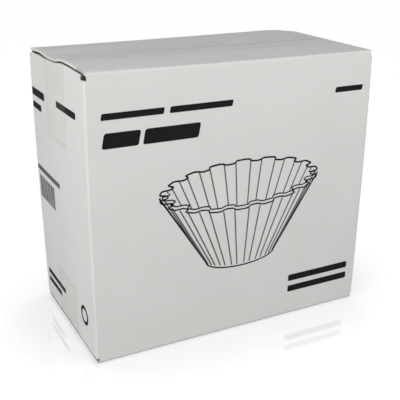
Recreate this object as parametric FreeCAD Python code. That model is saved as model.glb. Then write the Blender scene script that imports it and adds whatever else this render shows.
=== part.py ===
"""A sealed corrugated carton of paper coffee filters, with its two strips of packing tape.

The carton is a regular slotted one: four wall panels, and at the top and the bottom two end flaps that
fold in first and two long flaps that fold over them and meet on the centre line. It is full and taped shut, so
its panels bow out a little. Sizes are in millimetres. X runs along the long front, Y from the front to the back
and Z up. The origin is at the middle of the base.
"""

import FreeCAD, Part
import math
import os

V = FreeCAD.Vector

# The carton, outside
length = 370.0
depth = 196.0
height = 337.5
board = 3.0
fold_radius = 2.6
flap_fold_radius = 1.5

# How far the full panels bow out, the share of that left at the upright edges, and how far up the bow leans
front_bulge = 2.0
front_share = 0.35
front_lean = 0.0
end_bulge = 2.2
end_share = 0.6
end_lean = 0.6
top_bulge = 1.2

# The back left upright edge leans: its top stands out to the left by this, and its foot stands in as far
back_left_lean = 1.4

# The top isn't true: the back edge falls to the left and rises to the right, and one back corner is dented
back_left_rise = -2.3
back_right_rise = 2.1
dent_drop = 2.8
dent_reach = 34.0

# How high the long flaps' left ends stand, at shares of the depth: the front one arches up, the other lies low
flap_end_rise = [
    (0, 1.2), (0.05, 3.6), (0.14, 3.9), (0.25, 4.7), (0.37, 4.6),
    (0.54, 0.1), (0.64, -0.4), (0.81, 1.6), (1, -0.4),
]

# The gap between the long flaps' ends and the end flaps, and how much wider it is along the left end
flap_gap = 1.6
left_gap_more = [(0, 0.4), (0.41, 0.4), (0.53, -0.6), (0.64, -0.6), (0.76, 1.2), (0.88, 1.2), (0.96, 0.0)]
gap_depth = 20.0
flap_setback = 1.8
seam_gap = 0.8

# The hole that each corner's slot leaves under the long flap, and the hollow behind it, beside round stacks
slot_on_front = 3.2
slot_on_end = 8.0
slot_fall = 6.5
hollow_reach = 13.0
hollow_fall = 36.0
hollow_lap = 0.4
end_flap_under = 9.0

# The glued joint up the back right corner, where the back panel's cut edge lies over the end panel's tab
joint_lap = 3.2

# Packing tape
tape_width = 72.0
tape_thickness = 0.25
top_tail = 95.0
bottom_tail = 72.0
tape_drop = 5.0
tape_foot_out = 0.5
tape_clear = 0.05

# Places that follow from the sizes, how far cutting blocks run past the carton, and the grid of the top's face
left, right = -length / 2, length / 2
front, back = -depth / 2, depth / 2
margin = 20.0
reach_down = 30.0
reach_up = 60.0
grid_along = 16
grid_across = 26


def part_way(value, low, high):
    """How far a value lies along the way from one end to the other, from 0 to 1."""
    return (value - low) / (high - low)


def between(points, value):
    """The height at a value on a smooth line that eases from each of some points to the next."""
    if value <= points[0][0]:
        return points[0][1]
    for (x0, y0), (x1, y1) in zip(points, points[1:]):
        if value <= x1:
            ease = (1 - math.cos(math.pi * part_way(value, x0, x1))) / 2
            return y0 + (y1 - y0) * ease
    return points[-1][1]


def top_height(x, y):
    """The height of the top at a place."""
    along = part_way(x, left, right)
    across = part_way(y, front, back)
    swell = top_bulge * 16 * along * (1 - along) * across * (1 - across)
    warp = across * (back_left_rise + (back_right_rise - back_left_rise) * along)
    flap_end = between(flap_end_rise, across) - across * back_left_rise
    near_corner = max(0.0, 1 - math.hypot(x - right, y - back) / dent_reach)
    return height + swell + warp + flap_end * (1 - along) ** 3 - dent_drop * near_corner ** 1.5


def end_stand(side, y, z):
    """How far an end panel stands out at a place for the lean of its back edge."""
    if side > 0:
        return 0.0
    return back_left_lean * part_way(y, front, back) * (2 * part_way(z, 0, height) - 1)


def spread(low, high, steps):
    """Evenly spaced values that run past both ends by the margin."""
    first, last = low - margin, high + margin
    return [first + (last - first) * i / steps for i in range(steps + 1)]


def smooth_face(points):
    """One smooth face through a grid of points."""
    sheet = Part.BSplineSurface()
    sheet.interpolate(points)
    return sheet.toShape()


def swell_across(low, high, edge_share):
    """Control values of a quadratic over a range: a share at 0 and 1, and 1 in the middle."""
    pairs = ((low, low), (low, high), (high, high))
    return [edge_share + (1 - edge_share) * 4 * ((s + t) / 2 - s * t) for s, t in pairs]


def swell_upward(low, high, lean):
    """Control values of a cubic over a range: 0 at 0 and 1, 1 in the middle, fuller above it by the lean."""
    values = []
    for s, t, u in ((low, low, low), (low, low, high), (low, high, high), (high, high, high)):
        plain, squared, cubed = (s + t + u) / 3, (s * t + t * u + u * s) / 3, s * t * u
        values.append(4 * ((1 - lean) * (plain - squared) + 2 * lean * (squared - cubed)))
    return values


def wall_block(side, is_end, grow):
    """Everything inboard of one bowed wall panel, moved outwards by a thickness."""
    if is_end:
        half, half_along = length / 2, depth / 2
        bulge, edge_share, lean = end_bulge, end_share, end_lean
    else:
        half, half_along = depth / 2, length / 2
        bulge, edge_share, lean = front_bulge, front_share, front_lean
    past = margin / (2 * half_along)
    across = swell_across(-past, 1 + past, edge_share)
    upward = swell_upward(-margin / height, 1 + margin / height, lean)
    sheet = Part.BezierSurface()
    sheet.increase(2, 3)
    for i, wide in enumerate(across):
        for j, tall in enumerate(upward):
            run = (i - 1) * (half_along + margin)
            up = -margin + j * (height + 2 * margin) / 3
            lean_out = end_stand(side, run, up) if is_end else 0.0
            out = side * (half + grow + bulge * wide * tall + lean_out)
            sheet.setPole(i + 1, j + 1, V(out, run, up) if is_end else V(run, out, up))
    inward = -side * 2 * (half + margin)
    return sheet.toShape().extrude(V(inward, 0, 0) if is_end else V(0, inward, 0))


def end_block(side, grow=0.0):
    """Everything inboard of the left (-1) or the right (1) end panel."""
    return wall_block(side, True, grow)


def long_block(side, grow=0.0):
    """Everything inboard of the front (-1) or the back (1) panel."""
    return wall_block(side, False, grow)


def fold_height(x, y):
    """The height of the end flaps, under the long flaps' ends."""
    more = between(left_gap_more, part_way(y, front, back)) * (1 - part_way(x, left, right)) ** 3
    return top_height(x, y) - board - flap_gap - more


def layer(height_at, thick, drop=0.0):
    """The layer between a surface, set down by a drop, and the same surface moved up by a thickness."""
    rows = []
    for x in spread(left, right, grid_along):
        rows.append([V(x, y, height_at(x, y) - drop) for y in spread(front, back, grid_across)])
    return smooth_face(rows).extrude(V(0, 0, thick))


def below_top(drop, thick):
    """The layer that starts a given drop below the top's surface."""
    return layer(top_height, -thick, drop)


def block(x0, x1, y0, y1, z0, z1):
    """A box between two corners, given in any order."""
    low = V(min(x0, x1), min(y0, y1), min(z0, z1))
    return Part.makeBox(abs(x1 - x0), abs(y1 - y0), abs(z1 - z0), low)


def beyond_end(side, inset, z0, z1, level):
    """The upright block beyond a line just inboard of an end panel's edge, at the top's or the base's level."""
    far = margin + 1
    outline = []
    for y in (front - far, back + far):
        outline.append(V(side * (length / 2 - inset + end_stand(side, y, level)), y, z0))
    for y in (back + far, front - far):
        outline.append(V(side * (length / 2 + far), y, z0))
    return Part.Face(Part.makePolygon(outline + outline[:1])).extrude(V(0, 0, z1 - z0))


def edges_at(shape, place):
    """The edges whose middle point passes a test."""
    found = []
    for edge in shape.Edges:
        middle = edge.valueAt((edge.FirstParameter + edge.LastParameter) / 2)
        if place(middle):
            found.append(edge)
    return found


def walls():
    """The four wall panels as one filled upright block, with the glued joint's step."""
    body = block(left - margin, right + margin, front - margin, back + margin, 0, height + margin)
    for side in (-1, 1):
        body = body.common(end_block(side)).common(long_block(side))
    over_tab = block(right - joint_lap, right + margin, back - board, back + margin, -1, height + 2 * margin)
    return body.cut(over_tab)


def slot_edge(side, corner, level):
    """How far along the front a corner's slot reaches, at the top's or the base's level."""
    return side * (length / 2 - slot_on_front + end_stand(side, corner, level))


def end_cuts():
    """What the long flaps leave bare: a step over each end panel's fold, and a hole at each corner."""
    cuts = []
    far = margin + 1
    above_folds = layer(fold_height, height)
    under_flaps = below_top(board, height)
    for side in (-1, 1):
        above = beyond_end(side, flap_setback, height - reach_down, height + reach_up, height)
        cuts.append(above_folds.common(above))
        cuts.append(beyond_end(side, flap_setback, -far, board + flap_gap, 0))
        outside = side * (length / 2 + far)
        for side_y in (-1, 1):
            corner = side_y * depth / 2
            y0, y1 = corner - side_y * slot_on_end, corner + side_y * far
            edge = slot_edge(side, corner, height)
            top_hole = block(edge, outside, y0, y1, height - slot_fall, height + reach_up)
            cuts.append(under_flaps.common(top_hole))
            edge = slot_edge(side, corner, 0)
            cuts.append(block(edge, outside, y0, y1, board, slot_fall))
    return cuts


def flap_gaps():
    """The thin gaps under the ends of the long flaps."""
    cuts = []
    gap_layer = below_top(board, height / 2).common(layer(fold_height, height / 2))
    y0, y1 = front + slot_on_end - 1, back - slot_on_end + 1
    for side in (-1, 1):
        inner = side * (length / 2 - gap_depth)
        outside = side * (length / 2 + margin)
        top_gap = block(inner, outside, y0, y1, height - reach_down, height + reach_up)
        cuts.append(gap_layer.common(top_gap))
        cuts.append(block(inner, outside, y0, y1, board, board + flap_gap))
    return cuts


def seams():
    """The thin slits on the centre line, where the long flaps meet."""
    half = seam_gap / 2
    top_seam = block(left - margin, right + margin, -half, half, height - reach_down, height + reach_up)
    base_seam = block(left - margin, right + margin, -half, half, -1, board)
    return [below_top(-margin, margin + board).common(top_seam), base_seam]


def corner_hollows():
    """The hollow behind each corner's hole: up to the long flap beside the slot, under the end flap past it."""
    cuts = []
    under_flaps = below_top(board, height / 2)
    for side in (-1, 1):
        inner = side * (length / 2 - hollow_reach)
        for side_y in (-1, 1):
            corner = side_y * depth / 2
            y0, y1 = corner - side_y * board, corner - side_y * slot_on_end
            y2 = corner - side_y * hollow_reach
            outer = slot_edge(side, corner, height) + side * hollow_lap
            beside = block(outer, inner, y0, y1, height - hollow_fall, height + reach_up)
            cuts.append(under_flaps.common(beside))
            cuts.append(block(outer, inner, y1, y2, height - hollow_fall, height - end_flap_under))
            outer = slot_edge(side, corner, 0) + side * hollow_lap
            cuts.append(block(outer, inner, y0, y1, board, hollow_fall))
            cuts.append(block(outer, inner, y1, y2, end_flap_under, hollow_fall))
    return cuts


def carton_form():
    """The closed carton as one filled solid."""
    body = walls().common(below_top(0, height + 2 * margin))
    body = body.cut(end_cuts()).cut(flap_gaps()).Solids[0]

    def is_halfway_up(p):
        return abs(p.z - height / 2) < height / 4

    def is_upright_fold(p):
        return is_halfway_up(p) and abs(p.x) > right - 3 and abs(p.y) > back - 1 and min(p.x, p.y) < 0

    def is_joint(p):
        return is_halfway_up(p) and p.x > right - 1 and abs(p.y - (back - board)) < 0.5

    def is_long_edge(p):
        return abs(p.x) < length / 4 and abs(p.y) > back - 1 and (p.z < 1 or p.z > height - 1)

    def is_end_fold(p):
        at_fold = abs(p.z - board - flap_gap) < 0.5 or p.z > height - board - 4
        return abs(p.x) > right - 0.9 and abs(p.y) < depth / 4 and at_fold

    body = body.makeFillet(fold_radius, edges_at(body, is_upright_fold))
    body = body.makeFillet(fold_radius - 0.5, edges_at(body, is_joint))
    body = body.makeFillet(fold_radius, edges_at(body, is_long_edge))
    body = body.makeFillet(flap_fold_radius, edges_at(body, is_end_fold))
    return body.cut(corner_hollows() + seams()).Solids[0]


def outside_bridge(side, grow, at_top):
    """What lies outside the slant where a tape passes from the flaps' ends to the end panel."""
    run, drop = flap_setback + tape_foot_out, tape_drop
    rows = []
    level = height if at_top else 0
    for y in spread(front, back, grid_across):
        row = []
        for t in (-2, 0, 1, 3):
            x = side * (length / 2 + end_stand(side, y, level) - flap_setback + run * t + grow)
            if at_top:
                z = top_height(side * (length / 2 - flap_setback), y) + tape_clear - drop * t + grow
            else:
                z = tape_thickness - tape_clear + drop * t - grow
            row.append(V(x, y, z))
        rows.append(row)
    return smooth_face(rows).extrude(V(side * 2 * margin, 0, 0))


def wrap(grow, at_top):
    """The stretch of the carton that one strip of tape goes round, grown outwards."""
    half = tape_width / 2
    if at_top:
        low, high = height - top_tail, height + margin
    else:
        low, high = tape_thickness - grow, bottom_tail
    body = block(left - margin, right + margin, -half, half, low, high)
    if at_top:
        body = body.common(below_top(-grow, height + margin))
    for side in (-1, 1):
        body = body.common(end_block(side, grow)).cut(outside_bridge(side, grow, at_top))
    return body


def tape(at_top):
    """One strip of tape, over a seam and down both ends."""
    return wrap(tape_thickness, at_top).cut(wrap(0.0, at_top)).Solids[0]


os.makedirs("parts", exist_ok=True)
top_tape = tape(True)
bottom_tape = tape(False)
nodes = {"carton": carton_form().cut(bottom_tape), "top_tape": top_tape, "bottom_tape": bottom_tape}
for name, shape in nodes.items():
    shape = shape.Solids[0]
    print(name, shape.isValid(), round(shape.Volume), len(shape.Faces), shape.optimalBoundingBox())
    shape.exportStep("parts/" + name + ".step")
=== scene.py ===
"""The looks of a sealed carton of paper coffee filters: board, clear tape, black print, floor and light.

Everything is in metres in the part's own frame: X along the printed front, Y from front to back, Z up, and
the origin at the middle of the base.
"""

import math

import bpy
import numpy as np
from mathutils import Matrix, Vector


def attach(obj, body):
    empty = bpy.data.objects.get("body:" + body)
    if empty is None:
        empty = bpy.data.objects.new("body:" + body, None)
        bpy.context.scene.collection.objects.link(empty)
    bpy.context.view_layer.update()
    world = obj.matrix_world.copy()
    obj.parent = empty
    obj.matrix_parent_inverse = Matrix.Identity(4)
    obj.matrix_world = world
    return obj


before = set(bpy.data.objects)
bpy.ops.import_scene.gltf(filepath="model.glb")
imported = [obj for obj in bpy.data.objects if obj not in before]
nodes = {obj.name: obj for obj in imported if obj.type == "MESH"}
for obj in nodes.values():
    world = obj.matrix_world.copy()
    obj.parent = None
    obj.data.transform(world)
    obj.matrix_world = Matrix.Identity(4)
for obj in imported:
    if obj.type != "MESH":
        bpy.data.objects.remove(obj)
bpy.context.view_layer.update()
mm = 0.001

# The carton's walls, as the solids have them: how far they bow out, the share of that left at the upright
# edges, how far up the fullest part leans, and how far the back left edge stands out at its top and in at
# its foot
wall_length, wall_depth, wall_height = 0.370, 0.196, 0.3375
front_wall = {"bulge": 0.0020, "share": 0.35, "lean": 0.0}
end_wall = {"bulge": 0.0022, "share": 0.6, "lean": 0.6}
back_left_lean = 0.0014
half_length, half_depth = wall_length / 2, wall_depth / 2

# Print lies a hair over the board and under the tape
ink_lift = 0.1 * mm

# Faces square to X or Y and this far inboard are the flaps' cut edges, or the inside of a corner hole
cut_edge = {"X": 1.62 * mm, "Y": 1.0 * mm}
hole = {"X": 2.3 * mm, "Y": 1.0 * mm}

# A face is square to an axis, or an end panel's, when its normal's part along the axis is over these
square_on, end_on = 0.9, 0.7

# The board's tones: each pair is the darkest and the lightest of a cloudy mix
board_tones = ((0.668, 0.672, 0.650, 1), (0.732, 0.735, 0.716, 1))
# Raw kraft for the faces inside the corner holes, set darker than raw kraft is, as painted shade in the holes
raw_kraft_shade_tones = ((0.10, 0.095, 0.080, 1), (0.20, 0.19, 0.165, 1))
cut_edge_tone = (0.47, 0.46, 0.43, 1)
flute_pitch = 6.6 * mm

# Painted shade: the board's colour darkens where its own folds shut out the space within a reach, and over
# its lowest few millimetres
gap_reach = 9 * mm
gap_openness = (0.25, 0.6)
gap_shade_tone = 0.16
foot_shade_height, foot_shade_tone = 2.6 * mm, 0.50

# The inks' shades, and the shares of a shade that its uneven tone runs between
black_shade, grey_shade = 0.009, 0.12
ink_spread = (0.75, 1.25)


# Shapes of ink

def parabola(t):
    """0 at 0 and 1, and 1 in the middle: 4 t (1 - t)."""
    return 4 * t * (1 - t)


def swell(along, up, bulge, share, lean):
    """A bowed wall's swell: full in the middle, a share of it at the upright edges, none at top and base."""
    across = share + (1 - share) * parabola(along)
    return bulge * across * parabola(up) * (1 + lean * (2 * up - 1))


def on_front(h, v):
    """Points of the front panel. h runs to the right from the middle and v up from the base."""
    out = swell((h + half_length) / wall_length, v / wall_height, **front_wall)
    return np.stack([h, -(half_depth + out + ink_lift), v], axis=-1)


def on_end(h, v):
    """Points of the left end panel. h runs to the right as seen from outside, which is towards the front."""
    up = v / wall_height
    out = swell((h + half_depth) / wall_depth, up, **end_wall)
    out = out + back_left_lean * (half_depth - h) / wall_depth * (2 * up - 1)
    return np.stack([-(half_length + out + ink_lift), -h, v], axis=-1)


def bar(left, right, low, high, slant=0.0, radius=0.0, steps=24):
    """A filled bar with round corners. Each level runs between two ends that draw in near the top and the
    base by the corner circle's inset, r - sqrt(r^2 - (r - d)^2) at a distance d, and the slant moves each
    level sideways."""
    v = np.linspace(low, high, steps + 1)
    d = np.minimum(np.minimum(v - low, high - v), radius)
    inset = radius - np.sqrt(np.maximum(radius ** 2 - (radius - d) ** 2, 0.0))
    shift = slant * (v - low)
    share = np.linspace(0, 1, steps + 1)[:, None]
    h = (left + inset + shift) * (1 - share) + (right - inset + shift) * share
    return h, np.broadcast_to(v, h.shape)


def stroke(h, v, width):
    """A line of ink along a path: each point moves half the width to both sides, square to the path."""
    dh, dv = np.gradient(h), np.gradient(v)
    reach = np.maximum(np.hypot(dh, dv), 1e-12)
    side_h, side_v = -dv / reach, dh / reach
    across = np.linspace(-0.5, 0.5, 3)[None, :] * width
    return h[:, None] + side_h[:, None] * across, v[:, None] + side_v[:, None] * across


def ring(middle, level, outer, inner):
    """A flat ring between two circles."""
    angle = np.linspace(0, 2 * math.pi, 61)[:, None]
    radius = np.linspace(outer, inner, 3)[None, :]
    return middle + radius * np.cos(angle), level + radius * np.sin(angle)


def grid_faces(rows, columns, start):
    """The corners of every square of a grid of points, counted from a start."""
    i, j = np.meshgrid(np.arange(rows - 1), np.arange(columns - 1), indexing="ij")
    first = (start + i * columns + j).ravel()
    return np.stack([first, first + columns, first + columns + 1, first + 1], axis=1)


def printed(name, place, shapes, material):
    """One piece of ink on a panel, from several shapes. Each is a grid of points whose faces look out."""
    grids = [place(h, v) for h, v in shapes]
    faces, start = [], 0
    for grid in grids:
        faces.append(grid_faces(grid.shape[0], grid.shape[1], start))
        start += grid.shape[0] * grid.shape[1]
    points = np.concatenate([grid.reshape(-1, 3) for grid in grids])
    mesh = bpy.data.meshes.new(name)
    mesh.from_pydata(points.tolist(), [], np.concatenate(faces).tolist())
    mesh.shade_smooth()
    mesh.materials.append(material)
    piece = bpy.data.objects.new(name, mesh)
    bpy.context.scene.collection.objects.link(piece)
    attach(piece, "root")


# Material helpers

def new_material(name):
    """An empty node material, its tree and its output."""
    material = bpy.data.materials.new(name)
    material.use_nodes = True
    tree = material.node_tree
    tree.nodes.clear()
    out = tree.nodes.new("ShaderNodeOutputMaterial")
    return material, tree, out


def node(tree, kind, **values):
    """A node with its settings and its sockets' constants."""
    made = tree.nodes.new(kind)
    for key, value in values.items():
        if key in made.inputs:
            made.inputs[key].default_value = value
        else:
            setattr(made, key, value)
    return made


def feed(tree, socket, value):
    """A socket takes another one's value, or a constant."""
    if isinstance(value, bpy.types.NodeSocket):
        tree.links.new(value, socket)
    else:
        socket.default_value = value


def math_node(tree, operation, first, second=0.0):
    """A sum, product or the like of two values."""
    made = node(tree, "ShaderNodeMath", operation=operation)
    feed(tree, made.inputs[0], first)
    feed(tree, made.inputs[1], second)
    return made.outputs[0]


def map_range(tree, value, before, after):
    """A value moved from one range to another and held at its ends."""
    limits = {"From Min": before[0], "From Max": before[1], "To Min": after[0], "To Max": after[1]}
    made = node(tree, "ShaderNodeMapRange", **limits)
    tree.links.new(value, made.inputs["Value"])
    return made.outputs[0]


def mix_values(tree, share, first, second):
    """Two values blended by a share. The node keeps values in its sockets 2 and 3."""
    made = node(tree, "ShaderNodeMix", data_type="FLOAT")
    feed(tree, made.inputs[0], share)
    feed(tree, made.inputs[2], first)
    feed(tree, made.inputs[3], second)
    return made.outputs[0]


def mix_tones(tree, share, first, second, blend="MIX"):
    """Two colours blended by a share. The node keeps colours in its sockets 6 and 7."""
    made = node(tree, "ShaderNodeMix", data_type="RGBA", blend_type=blend)
    feed(tree, made.inputs[0], share)
    feed(tree, made.inputs[6], first)
    feed(tree, made.inputs[7], second)
    return made.outputs[2]


def mix_shaders(tree, share, first, second):
    """Two surfaces blended by a share."""
    made = node(tree, "ShaderNodeMixShader")
    for socket, value in zip(made.inputs, (share, first, second)):
        tree.links.new(value, socket)
    return made.outputs[0]


def add_shaders(tree, first, second):
    """The light of two surfaces together."""
    made = node(tree, "ShaderNodeAddShader")
    for socket, value in zip(made.inputs, (first, second)):
        tree.links.new(value, socket)
    return made.outputs[0]


def object_place(tree):
    """Where the point is in the part's own frame."""
    return node(tree, "ShaderNodeTexCoord").outputs["Object"]


def facing(tree):
    """Which way the point's flat face looks."""
    return node(tree, "ShaderNodeNewGeometry").outputs["True Normal"]


def split(tree, vector):
    """A vector's parts, by axis."""
    made = node(tree, "ShaderNodeSeparateXYZ")
    tree.links.new(vector, made.inputs[0])
    return made.outputs


def noise(tree, scale, detail, roughness=0.5):
    """Cloudy noise in the part's own frame."""
    made = node(tree, "ShaderNodeTexNoise", Scale=scale, Detail=detail, Roughness=roughness)
    tree.links.new(object_place(tree), made.inputs["Vector"])
    return made.outputs["Fac"]


def bump(tree, height, strength, distance, under=None):
    """A bump in the surface, laid over another one."""
    made = node(tree, "ShaderNodeBump", Strength=strength, Distance=distance)
    tree.links.new(height, made.inputs["Height"])
    if under is not None:
        tree.links.new(under, made.inputs["Normal"])
    return made.outputs["Normal"]


def openness(tree, reach, samples, own_only):
    """How open the space over a point is within a reach: 1 in the open, and 0 shut in."""
    made = node(tree, "ShaderNodeAmbientOcclusion", Distance=reach, samples=samples, only_local=own_only)
    return made.outputs["AO"]


# Materials

def inner_faces(tree, inboard):
    """1 on faces square to X or Y that stand further inboard than given for that axis, and 0 elsewhere."""
    where = split(tree, object_place(tree))
    which = split(tree, facing(tree))
    masks = []
    for axis, edge in (("X", half_length), ("Y", half_depth)):
        square = math_node(tree, "GREATER_THAN", math_node(tree, "ABSOLUTE", which[axis]), square_on)
        reach = math_node(tree, "ABSOLUTE", where[axis])
        within = math_node(tree, "LESS_THAN", reach, edge - inboard[axis])
        masks.append(math_node(tree, "MULTIPLY", square, within))
    return math_node(tree, "MAXIMUM", masks[0], masks[1])


def flute_ridges(tree):
    """The flutes that show faintly through the liner: a sine along X, or along Y on the end panels."""
    where = split(tree, object_place(tree))
    which = split(tree, facing(tree))
    end_panel = math_node(tree, "GREATER_THAN", math_node(tree, "ABSOLUTE", which["X"]), end_on)
    along = mix_values(tree, end_panel, where["X"], where["Y"])
    turn = math_node(tree, "MULTIPLY", along, 2 * math.pi / flute_pitch)
    return math_node(tree, "SINE", turn)


def painted_shade(tree):
    """Painted shade: 1 in the open, falling to a dark tone in the board's own gaps, and a little along the
    foot's folds.
    """
    gap_shade = map_range(tree, openness(tree, gap_reach, samples=8, own_only=True), gap_openness, (gap_shade_tone, 1.0))
    level = split(tree, object_place(tree))["Z"]
    foot_shade = map_range(tree, level, (0.0, foot_shade_height), (foot_shade_tone, 1.0))
    return math_node(tree, "MULTIPLY", gap_shade, foot_shade)


def white_board():
    """White-faced corrugated board: a soft sheen, cloudy tone, faint flutes, raw grey cut edges, raw kraft in
    the corner holes darkened as painted shade, and painted shade in its gaps and along its foot.
    """
    material, tree, out = new_material("white_board")
    clouds = mix_tones(tree, noise(tree, scale=11.0, detail=5.0, roughness=0.6), *board_tones)
    # Raw kraft darkened as painted shade, for the faces inside the corner holes
    raw_kraft_in_shade = mix_tones(tree, noise(tree, scale=420.0, detail=2.0), *raw_kraft_shade_tones)
    edged = mix_tones(tree, inner_faces(tree, cut_edge), clouds, cut_edge_tone)
    holed = mix_tones(tree, inner_faces(tree, hole), edged, raw_kraft_in_shade)
    # The board's colour is multiplied by painted shade in its own gaps and along its foot
    colour = mix_tones(tree, 1.0, holed, painted_shade(tree), "MULTIPLY")

    fibre = bump(tree, noise(tree, scale=900.0, detail=3.0), strength=0.10, distance=0.2 * mm)
    ridged = bump(tree, flute_ridges(tree), strength=0.12, distance=0.1 * mm, under=fibre)
    waves = bump(tree, noise(tree, scale=9.0, detail=1.5), strength=0.35, distance=4 * mm, under=ridged)

    surface = node(tree, "ShaderNodeBsdfPrincipled", Roughness=0.62, **{"Specular IOR Level": 0.28})
    tree.links.new(colour, surface.inputs["Base Color"])
    tree.links.new(waves, surface.inputs["Normal"])
    tree.links.new(surface.outputs["BSDF"], out.inputs["Surface"])
    return material


def clear_tape():
    """Clear packing tape: the board shows through it, duller and with a sheen. Its glued side isn't seen."""
    material, tree, out = new_material("clear_tape")
    film = node(tree, "ShaderNodeBsdfPrincipled", Roughness=0.25, Alpha=0.07)
    film.inputs["Base Color"].default_value = (0.50, 0.50, 0.46, 1)
    nothing = node(tree, "ShaderNodeBsdfTransparent")
    glued_side = node(tree, "ShaderNodeNewGeometry").outputs["Backfacing"]
    both = mix_shaders(tree, glued_side, film.outputs["BSDF"], nothing.outputs[0])
    tree.links.new(both, out.inputs["Surface"])
    return material


def ink(name, shade):
    """Printing ink on board, a little uneven around its shade."""
    material, tree, out = new_material(name)
    dark, light = [(shade * share,) * 3 + (1,) for share in ink_spread]
    tone = mix_tones(tree, noise(tree, scale=260.0, detail=4.0), dark, light)
    surface = node(tree, "ShaderNodeBsdfPrincipled", Roughness=0.55, **{"Specular IOR Level": 0.12})
    tree.links.new(tone, surface.inputs["Base Color"])
    tree.links.new(surface.outputs["BSDF"], out.inputs["Surface"])
    return material


board_look = white_board()
tape_look = clear_tape()
black_ink = ink("black_ink", black_shade)
grey_ink = ink("grey_ink", grey_shade)


def dress(name, material):
    """A solid of the part takes its material."""
    solid = nodes[name]
    solid.data.materials.clear()
    solid.data.materials.append(material)


dress("carton", board_look)
dress("top_tape", tape_look)
dress("bottom_tape", tape_look)


# The line drawing of a fluted basket filter, worked out as a projected fluted cone

filter_middle = 4.0 * mm
rim_level, base_level = 192.5 * mm, 101.0 * mm
rim_radius, base_radius = 108.0 * mm, 47.5 * mm
tilt = 0.285

# How many flutes there are, how deep as a share of the radius, how hard they are pressed flat, and the
# cosine at which their sides are drawn
flutes = 18
flute_depth = 0.10
flute_press = 2.6
flute_cut = 0.2

# The near lip stands in and up from the rim, and hides the far wall a little above itself
lip_scale, lip_rise = 0.975, 3.6 * mm
lip_cover = 0.6 * mm

# The two halves of the rim lap by an angle. Pleats keep an angle clear at both sides and run over shares of
# the way from the rim to the base
rim_lap = 0.02
outer_clear, outer_start, outer_stop = 0.05, 0.02, 0.965
inner_clear, inner_start, inner_least = 0.12, 0.01, 0.02

far_rim_line, near_rim_line, lip_line = 2.1 * mm, 1.8 * mm, 1.6 * mm
base_line, flank_line = 1.8 * mm, 2.2 * mm
outer_pleat_line, inner_pleat_line = 1.7 * mm, 1.6 * mm


def flute(angle):
    """How far each flute stands in, from 0 to 1: a cosine pressed towards flat tops and flat floors."""
    return 0.5 + 0.5 * np.tanh(flute_press * (np.cos(flutes * angle) - flute_cut))


def rim(angle, scale=1.0, raised=0.0):
    """The rim as drawn: a circle that the flutes draw in, flattened by the tilt."""
    radius = rim_radius * scale * (1 - flute_depth * flute(angle))
    return filter_middle + radius * np.cos(angle), rim_level + raised + radius * tilt * np.sin(angle)


def base(angle):
    """The base as drawn: a plain circle flattened by the tilt."""
    return filter_middle + base_radius * np.cos(angle), base_level + base_radius * tilt * np.sin(angle)


def flute_sides(first, last):
    """The angles of both sides of every flute between two angles."""
    half = math.acos(flute_cut) / flutes
    middles = np.arange(flutes * 2) * 2 * math.pi / flutes
    sides = np.sort(np.concatenate([middles - half, middles + half]))
    return sides[(sides > first) & (sides < last)]


def pleat_path(angle, down):
    """A straight line from the rim towards the base, at the given shares of the way."""
    top_h, top_v = rim(angle)
    foot_h, foot_v = base(angle)
    return top_h + (foot_h - top_h) * down, top_v + (foot_v - top_v) * down


def filter_outline():
    """The black lines: the whole rim, the near lip, the base and both flanks."""
    round_back = np.linspace(-rim_lap, math.pi + rim_lap, 700)
    round_near = np.linspace(math.pi - rim_lap, 2 * math.pi + rim_lap, 900)
    under = np.linspace(math.pi, 2 * math.pi, 160)
    lines = [
        stroke(*rim(round_back), far_rim_line),
        stroke(*rim(round_near), near_rim_line),
        stroke(*rim(round_near, lip_scale, lip_rise), lip_line),
        stroke(*base(under), base_line),
    ]
    down = np.linspace(0, 1, 40)
    for side in (-1, 1):
        h = filter_middle + side * (rim_radius * (1 - down) + base_radius * down)
        lines.append(stroke(h, rim_level * (1 - down) + base_level * down, flank_line))
    return lines


def outer_pleats():
    """The flutes' sides down the near wall, from the rim to just over the base."""
    down = np.linspace(outer_start, outer_stop, 30)
    angles = flute_sides(math.pi + outer_clear, 2 * math.pi - outer_clear)
    return [stroke(*pleat_path(angle, down), outer_pleat_line) for angle in angles]


def inner_pleats():
    """The flutes' sides down the far wall's inside, as far as the near lip hides them."""
    lip_h, lip_v = rim(np.linspace(math.pi, 2 * math.pi, 1500), lip_scale, lip_rise)
    way = np.linspace(0, 1, 400)
    lines = []
    for angle in flute_sides(inner_clear, math.pi - inner_clear):
        h, v = pleat_path(angle, way)
        over = v - np.interp(h, lip_h, lip_v)
        seen = way[np.argmax(over < lip_cover)]
        down = np.linspace(inner_start, max(seen, inner_least), 30)
        lines.append(stroke(*pleat_path(angle, down), inner_pleat_line))
    return lines


printed("filter_outline", on_front, filter_outline(), black_ink)
printed("filter_outer_pleats", on_front, outer_pleats(), grey_ink)
printed("filter_inner_pleats", on_front, inner_pleats(), grey_ink)


# Plain bars where the front's words and numbers are, in millimetres from the left fold and the base

italic = 0.2


def front_bar(first, last, low, high, slant=0.0, radius=0.0):
    """A bar on the front panel between two distances from its left fold."""
    return bar(-half_length + first * mm, -half_length + last * mm, low * mm, high * mm, slant, radius * mm)


printed("front_heading_bars", on_front, [
    front_bar(16, 88, 288.5, 295.8, slant=italic, radius=1.5),
    front_bar(95, 173, 288.5, 295.8, slant=italic, radius=1.5),
    front_bar(16, 58, 257.5, 274.5, slant=italic, radius=2.5),
    front_bar(63, 130, 257.5, 274.5, slant=italic, radius=2.5),
], black_ink)
printed("front_corner_bar", on_front, [
    front_bar(316, 357, 290, 296.7, slant=italic, radius=1.5),
], black_ink)
printed("front_foot_bars", on_front, [
    front_bar(262, 356, 48, 57, radius=2),
    front_bar(262, 356, 32.5, 41.5, radius=2),
], black_ink)


# Plain shapes where the left end's print is, in millimetres from the front upright fold and the base

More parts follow.
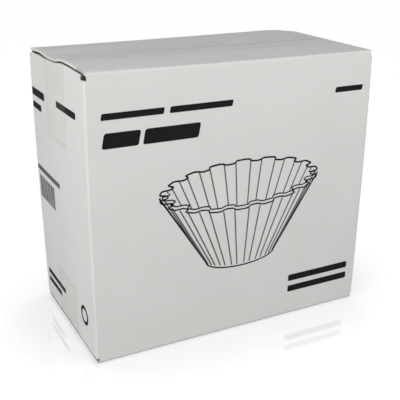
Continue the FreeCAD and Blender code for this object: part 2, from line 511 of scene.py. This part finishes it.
stripe_share, stripe_swing, stripe_turn = 0.5, 0.28, 2.4


def end_bar(first, last, low, high, radius=0.0):
    """A bar on the end panel between two distances from its front fold."""
    return bar(half_depth - last * mm, half_depth - first * mm, low * mm, high * mm, 0.0, radius * mm)


def end_stripes(first, last, low, high, count):
    """Upright stripes whose widths follow one sine and whose places are even."""
    pitch = (last - first) / count
    stripes = []
    for i in range(count):
        width = pitch * (stripe_share + stripe_swing * math.sin(stripe_turn * i))
        stripes.append(end_bar(first + i * pitch, first + i * pitch + width, low, high))
    return stripes


printed("end_heading_bars", on_end, [
    end_bar(141, 192, 281, 290.5, radius=1.5),
    end_bar(156, 192, 265, 273, radius=1.5),
], black_ink)
printed("end_quantity_bar", on_end, [end_bar(28, 94, 284.5, 292.3, radius=2)], black_ink)
printed("end_number_bar", on_end, [end_bar(98, 192, 184.5, 191, radius=1)], grey_ink)
printed("end_stripes", on_end, end_stripes(124, 188, 148, 178, count=22), black_ink)
printed("end_foot_bars", on_end, [
    end_bar(109, 183, 39.5, 46.5, radius=1),
    end_bar(128, 183, 27.5, 34.5, radius=1),
], black_ink)
printed("end_ring", on_end, [ring(half_depth - 36 * mm, 46.5 * mm, 12.5 * mm, 8.0 * mm)], black_ink)


# Camera

focal_pixels = 733.0
frame_pixels = 400
sensor_width = 36
far_clip = 20
eye = Vector((-0.4191, -0.7985, 0.4808))
look = Vector((0.43441, 0.82837, -0.35369)).normalized()
roll = math.radians(0.46)


def add_camera():
    """The camera at the photograph's place, turned a hair about its own line of sight."""
    right = look.cross(Vector((0, 0, 1))).normalized()
    up = right.cross(look)
    right, up = right * math.cos(roll) + up * math.sin(roll), up * math.cos(roll) - right * math.sin(roll)
    data = bpy.data.cameras.new("camera")
    data.sensor_width = sensor_width
    data.lens = focal_pixels / frame_pixels * sensor_width
    data.clip_end = far_clip
    camera = bpy.data.objects.new("camera", data)
    turn = Matrix((right, up, -look)).transposed().to_4x4()
    camera.matrix_world = Matrix.Translation(eye) @ turn
    bpy.context.scene.collection.objects.link(camera)
    bpy.context.scene.camera = camera


add_camera()


# Floor, surroundings and light

floor_reach = 6.0
floor_tone = (0.55, 0.55, 0.55, 1)
seen_floor_tone = (0.20, 0.20, 0.20, 1)

# The seen floor's own glow, dimmed beside the carton as a painted shadow, and its reflection, each beside the
# carton and in the open
floor_shadow_reach = 0.16
floor_shadow_openness = (0.62, 0.97)
glow_and_shadow_levels = (0.56, 0.92)
sheen_levels = (0.32, 0.0)

# The surroundings' light on the object, from the sides and from above, and the camera's plain white
side_level, top_level = 0.816, 0.14
seen_level = 1.0


def pale_floor():
    """A white floor. The camera sees it lifted to white, with a painted shadow that dims it beside the
    carton, and a faint reflection.
    """
    material, tree, out = new_material("pale_floor")
    plain = node(tree, "ShaderNodeBsdfDiffuse", Color=floor_tone)
    matt = node(tree, "ShaderNodeBsdfDiffuse", Color=seen_floor_tone)
    sheen = node(tree, "ShaderNodeBsdfGlossy", Roughness=0.06)
    glow = node(tree, "ShaderNodeEmission")
    room = openness(tree, floor_shadow_reach, samples=12, own_only=False)
    # The glow dims where the carton shuts out the space: a painted shadow on the floor
    tree.links.new(map_range(tree, room, floor_shadow_openness, glow_and_shadow_levels), glow.inputs["Strength"])
    tree.links.new(map_range(tree, room, floor_shadow_openness, sheen_levels), sheen.inputs["Color"])
    seen = add_shaders(tree, add_shaders(tree, matt.outputs[0], sheen.outputs[0]), glow.outputs[0])
    by_camera = node(tree, "ShaderNodeLightPath").outputs["Is Camera Ray"]
    tree.links.new(mix_shaders(tree, by_camera, plain.outputs[0], seen), out.inputs["Surface"])
    return material


def add_floor():
    """A square floor under the carton, far wider than the view."""
    mesh = bpy.data.meshes.new("floor")
    corners = [(x * floor_reach, y * floor_reach, 0) for x, y in ((-1, -1), (1, -1), (1, 1), (-1, 1))]
    mesh.from_pydata(corners, [], [(0, 1, 2, 3)])
    mesh.materials.append(pale_floor())
    floor = bpy.data.objects.new("floor", mesh)
    bpy.context.scene.collection.objects.link(floor)


def add_surroundings():
    """White to the camera; to the object, soft light that is weaker from above than from the sides."""
    world = bpy.data.worlds.new("surroundings")
    bpy.context.scene.world = world
    world.use_nodes = True
    tree = world.node_tree
    tree.nodes.clear()
    upwards = split(tree, node(tree, "ShaderNodeTexCoord").outputs["Generated"])["Z"]
    by_camera = node(tree, "ShaderNodeLightPath").outputs["Is Camera Ray"]
    on_object = map_range(tree, upwards, (0.0, 1.0), (side_level, top_level))
    back = node(tree, "ShaderNodeBackground", Color=(1, 1, 1, 1))
    tree.links.new(mix_values(tree, by_camera, on_object, seen_level), back.inputs["Strength"])
    out = node(tree, "ShaderNodeOutputWorld")
    tree.links.new(back.outputs[0], out.inputs["Surface"])


def add_softbox(name, place, aim, width, power):
    """A square soft light at a place, facing a point."""
    data = bpy.data.lights.new(name, "AREA")
    data.shape = "SQUARE"
    data.size = width
    data.energy = power
    lamp = bpy.data.objects.new(name, data)
    lamp.location = place
    lamp.rotation_euler = (Vector(aim) - Vector(place)).to_track_quat("-Z", "Y").to_euler()
    lamp.visible_camera = False
    bpy.context.scene.collection.objects.link(lamp)


add_floor()
add_surroundings()
add_softbox("side_light", place=(-1.20, -0.55, 0.80), aim=(-0.18, -0.05, 0.30), width=0.6, power=10.0)
add_softbox("front_light", place=(0.30, -0.83, 0.75), aim=(0.11, 0.0, 0.29), width=0.5, power=3.3)
add_softbox("back_light", place=(0.50, 1.20, 0.17), aim=(0.05, 0.0, 0.17), width=0.3, power=4.0)

bpy.context.scene.view_settings.view_transform = "Standard"
